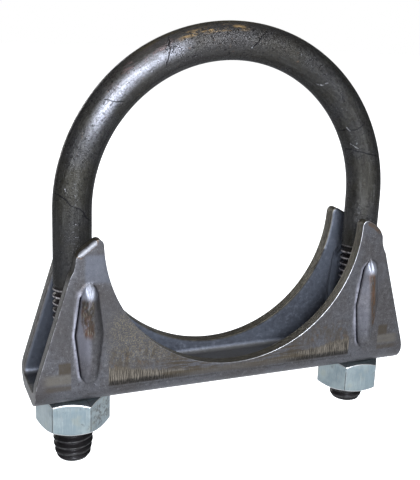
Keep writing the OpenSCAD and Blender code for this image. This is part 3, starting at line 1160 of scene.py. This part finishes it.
def edge_marks(s):
    """Sheared edges: dark cut faces, a broken bright line along them, partly worn metal and partly
    painted highlight, and painted highlights on the ear tips. Returns the tips.
    """
    shear = s.step(s.noise(2.0, 3, 0.6, s.stretch(0.4, 1.6, 0.4)), 0.35, 0.65)
    arc_cut = s.mix(shear, (0.018, 0.015, 0.01), (0.052, 0.046, 0.033))
    end_cut = s.mix(shear, (0.026, 0.024, 0.021), (0.057, 0.053, 0.049))
    at_end, on_cut, on_tip = s.mark("end"), s.mark("cut"), s.mark("tip")
    s.paint(s.mix(at_end, arc_cut, end_cut), s.step(on_cut, 0.3, 0.9))
    # Partly worn metal, partly painted highlight: a broken pale line along the rolled edges, strongest on the
    # front's right and the back's left.
    dashes = s.step(s.noise(1.3, 3, 0.6), 0.42, 0.54, 0.1, 1.0)
    side = s.step(s.times(s.x, s.math("SIGN", s.y)), 2, -10, 0.3, 1.0)
    line = s.mix(at_end, side, s.times(dashes, 0.35))
    s.paint((0.369, 0.369, 0.377), s.step(s.mark("edge"), 0.2, 0.9), line, s.step(dashes, 0.0, 1.0, 0.5, 1.0))
    s.paint((0.057, 0.037, 0.023), s.inside(on_tip, 0.02, 0.35, 0.02), s.step(s.grain, 0.36, 0.5), 0.8)
    # Painted highlight on the rolled edges of the ear tips.
    tip = s.times(s.step(on_tip, 0.3, 0.8), s.step(on_cut, 0.6, 0.3))
    s.paint((0.15, 0.15, 0.16), tip, s.step(s.grain, 0.4, 0.54, 0.2, 1.0), 0.8)
    return tip


def saddle_steel():
    """Grey pressed sheet: die marks, brushed bands, rusty ribs, dark cut edges, slate blue inside,
    and painted highlights and painted shade on its ribs, edges, flanks and inside.

    Two of its four quarters are marked alike: the left one in front and the right one behind.
    """
    s = Shade("saddle_steel", (0.053, 0.053, 0.056), 0.85)
    s.cloud = s.noise(0.1, 5, 0.6)
    s.grain = s.noise(1.2, 8, 0.8)
    s.speck = s.noise(4.5, 4, 0.65)
    s.across = s.math("ABSOLUTE", s.x)
    s.alike = s.step(s.times(s.x, s.y), -1, 1)
    outside_marks(s)
    brushed = front_marks(s)
    rust = rib_marks(s)
    s.paint(inside_colour(s), s.step(s.mark("inside"), 0.4, 0.6))
    tip = edge_marks(s)
    uneven = s.step(s.grain, 0.3, 0.8, -0.04, 0.12)
    rough = s.add(s.step(s.cloud, 0.3, 0.7, 0.5, 0.42), uneven, s.times(rust, 0.2), s.times(tip, 0.12))
    height = s.add(s.times(s.grain, 0.9), s.times(s.speck, 0.4), s.times(brushed, 0.6))
    return s.finish(rough, height, 0.07, 0.8)


def zinc_plate():
    """Pale blue zinc, drawn along its sides and stained in patches, with painted highlights on its chamfer rims
    and beside its corners, and painted shade on its corners and chamfers.
    """
    s = Shade("zinc_plate", (0.187, 0.219, 0.222), 0.9)
    cloud = s.noise(0.22, 4, 0.6)
    grain = s.noise(1.8, 6, 0.7)
    drawn = s.noise(1.5, 4, 0.65, s.stretch(2.4, 2.4, 0.16))
    corner = s.mark("corner")
    s.skin = s.mix(s.step(cloud, 0.36, 0.64), (0.142, 0.176, 0.187), (0.198, 0.233, 0.235))
    s.tone(drawn, 0.52, 0.72, 0.5, (0.277, 0.302, 0.294))
    s.tone(drawn, 0.44, 0.3, 0.5, (0.103, 0.126, 0.127))
    s.paint((0.055, 0.06, 0.063), s.step(drawn, 0.62, 0.65), s.step(s.noise(0.3, 2), 0.46, 0.56), 0.45)
    off_centre = s.math("ABSOLUTE", s.add(s.x, 27.2))
    patch = s.times(s.step(off_centre, 3.0, 1.6), s.step(s.y, -1.5, -2.5), s.inside(s.z, -38.5, -33.6, 0.8))
    mottle = s.step(s.noise(0.9, 6, 0.75), 0.46, 0.6)
    stain = s.times(s.step(s.noise(0.5, 6, 0.75), 0.58, 0.66), s.step(s.noise(0.13, 2), 0.46, 0.56))
    stain = s.most(s.times(stain, 0.6), s.times(patch, mottle))
    s.paint((0.063, 0.057, 0.047), stain, 0.75)
    s.paint((0.277, 0.252, 0.14), s.step(s.noise(0.26, 2), 0.55, 0.68), 0.15)
    # Painted shade: dark lines on the hexagon's corners, broken up by noise.
    corner_shade_breakup = s.step(s.noise(0.6, 3), 0.36, 0.5, 0.3, 1.0)
    s.paint((0.035, 0.037, 0.035), s.step(corner, 0.35, 0.85), corner_shade_breakup, 0.75)
    # Painted highlight: a bright line beside each corner.
    s.paint((0.431, 0.425, 0.406), s.inside(corner, 0.12, 0.4, 0.1), s.step(grain, 0.36, 0.54), 0.5)
    # Painted shade: the chamfers are darkened, as in the shade between nut and saddle.
    s.paint((0.063, 0.066, 0.07), s.step(s.mark("bevel"), 0.3, 0.9), 0.7)
    # Painted highlight along the chamfers' outer rims.
    s.paint((0.556, 0.545, 0.52), s.step(s.mark("edge"), 0.45, 0.9), s.step(grain, 0.3, 0.52, 0.35, 1.0), 0.8)
    rough = s.add(s.step(cloud, 0.3, 0.7, 0.42, 0.3), s.times(stain, 0.2))
    return s.finish(rough, s.add(s.times(grain, 0.6), s.times(drawn, 0.6)), 0.04, 0.7)


# ---- Stage ----

CAMERA_AT = Vector((-63.70, -141.69, 37.10))
CAMERA_YAW = 22.97
CAMERA_PITCH = 14.86
CAMERA_ROLL = -2.35
CAMERA_LENS = 59.31
FLOOR_HALF = 4000
FLOOR_GAP = 0.5


def make_camera():
    """Camera at the viewing angle, slightly above and to the left."""
    yaw, pitch, roll = (math.radians(a) for a in (CAMERA_YAW, CAMERA_PITCH, CAMERA_ROLL))
    ahead = Vector((*polar(math.pi / 2 - yaw, math.cos(pitch)), -math.sin(pitch)))
    level = Vector((math.cos(yaw), -math.sin(yaw), 0))
    down = ahead.cross(level)
    right = level * math.cos(roll) + down * math.sin(roll)
    below = down * math.cos(roll) - level * math.sin(roll)
    data = bpy.data.cameras.new("camera")
    data.sensor_width = 36
    data.lens = CAMERA_LENS
    data.clip_start = 0.005
    data.clip_end = 50
    camera = link("camera", data)
    turn = Matrix((right, -below, -ahead)).transposed()
    camera.matrix_world = Matrix.Translation(CAMERA_AT * MM) @ turn.to_4x4()
    bpy.context.scene.camera = camera


def seen_or_felt(tree, seen, felt):
    """A strength that the camera sees, and another that lights the clamp."""
    path = tree.nodes.new("ShaderNodeLightPath")
    level = tree.nodes.new("ShaderNodeMapRange")
    level.inputs["To Min"].default_value = felt
    level.inputs["To Max"].default_value = seen
    tree.links.new(path.outputs["Is Camera Ray"], level.inputs["Value"])
    return level.outputs["Result"]


def make_floor(z):
    """A pale floor, low enough that the legs clear it when the clamp is tightened."""
    bm = bmesh.new()
    sides = ((-1, -1), (1, -1), (1, 1), (-1, 1))
    bm.faces.new([bm.verts.new((x * FLOOR_HALF, y * FLOOR_HALF, z)) for x, y in sides])
    material = bpy.data.materials.new("floor_pale")
    material.use_nodes = True
    tree = material.node_tree
    shader = tree.nodes["Principled BSDF"]
    shader.inputs["Base Color"].default_value = (0.75, 0.75, 0.75, 1)
    shader.inputs["Roughness"].default_value = 0.9
    shader.inputs["Specular IOR Level"].default_value = 0.1
    shader.inputs["Emission Color"].default_value = (1, 1, 1, 1)
    tree.links.new(seen_or_felt(tree, 0.84, 0.0), shader.inputs["Emission Strength"])
    make_object("floor", bm, [material])


def add_light(name, toward, distance, size, power, colour):
    """A square soft light in a direction from the clamp, facing it."""
    data = bpy.data.lights.new(name, "AREA")
    data.shape = "SQUARE"
    data.size = size
    data.energy = power
    data.color = colour
    light = link(name, data)
    light.location = Vector(toward).normalized() * distance
    light.rotation_euler = (-light.location).to_track_quat("-Z", "Y").to_euler()


def make_world():
    """An even pale surround."""
    world = bpy.data.worlds.new("surround")
    bpy.context.scene.world = world
    world.use_nodes = True
    tree = world.node_tree
    back = tree.nodes["Background"]
    back.inputs["Color"].default_value = (1, 1, 1, 1)
    tree.links.new(seen_or_felt(tree, 1.0, 0.3), back.inputs["Strength"])


def make_stage():
    make_camera()
    make_floor(min(LEFT_END_Z, RIGHT_END_Z) - TRAVEL_DOWN - FLOOR_GAP)
    make_world()
    add_light("key", (-0.232, -0.887, 0.4), 0.75, 0.28, 21.0, (0.86, 0.91, 1.0))
    add_light("rear_fill", (-0.1, 1.0, 0.03), 0.8, 0.3, 3.5, (1.0, 0.99, 0.97))
    add_light("overhead", (-0.1, 0.05, 1.0), 0.9, 0.8, 2.6, (0.96, 0.98, 1.0))
    bpy.context.scene.view_settings.view_transform = "Standard"


# ---- Build ----

make_stage()
place(build_u_bolt([bolt_steel()]), "u_bolt", "bolt_steel")
place(build_saddle([saddle_steel()]), "saddle", "saddle_steel")
zinc = zinc_plate()
place(build_nut("nut_left_hex", "nut_left", [zinc]), "nut_left", "zinc_plate")
place(build_nut("nut_right_hex", "nut_right", [zinc]), "nut_right", "zinc_plate")
